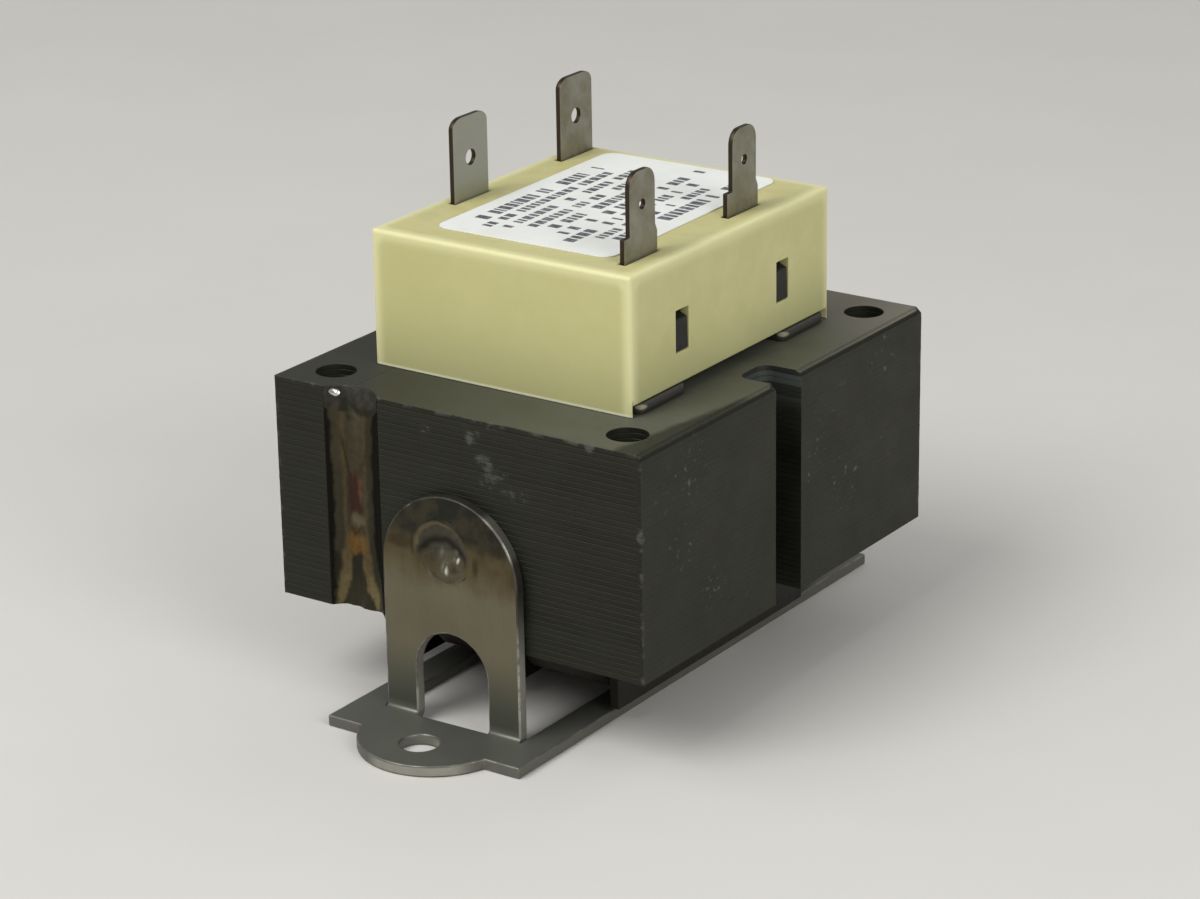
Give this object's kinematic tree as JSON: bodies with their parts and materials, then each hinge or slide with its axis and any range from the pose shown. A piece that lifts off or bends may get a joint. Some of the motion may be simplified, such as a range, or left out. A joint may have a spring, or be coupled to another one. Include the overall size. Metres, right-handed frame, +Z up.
{
  "type": "transformer",
  "caption": "Open-frame control transformer with a welded laminated core, a pale terminal cap with quick-connect tabs on top, and a folded steel foot bracket below.",
  "frame": {"origin": "on the surface that the bracket stands on, under the middle of the core", "axes": "+X along the coil's axis towards the secondary tabs, +Y along the core towards its rear face, +Z up"},
  "size_m": [0.0476, 0.083, 0.0609],
  "materials": {
    "core_steel": "satin dark coating over stacked sheet edges",
    "weld_steel": "heat-tinted weld",
    "bracket_steel": "dull rolled sheet",
    "bobbin_nylon": "matte",
    "winding_copper": "enamelled wire",
    "wrap_tape": "varnished tape",
    "tab_tin": "dull tin plate",
    "cap_nylon": "soft satin",
    "label_paper": "matte"
  },
  "bodies": {
    "root": {"e_lamination_stack": "core_steel", "i_lamination_stack": "core_steel", "weld_bead_front": "weld_steel", "weld_bead_rear": "weld_steel", "mounting_bracket": "bracket_steel", "ear_weld_front": "weld_steel", "ear_weld_rear": "weld_steel", "bobbin": "bobbin_nylon", "primary_winding": "winding_copper", "secondary_winding": "winding_copper", "primary_wrap": "wrap_tape", "secondary_wrap": "wrap_tape", "primary_tab_front": "tab_tin", "primary_tab_rear": "tab_tin", "secondary_tab_front": "tab_tin", "secondary_tab_rear": "tab_tin", "terminal_cap": "cap_nylon", "rating_label": "label_paper"}
  },
  "joints": []
}
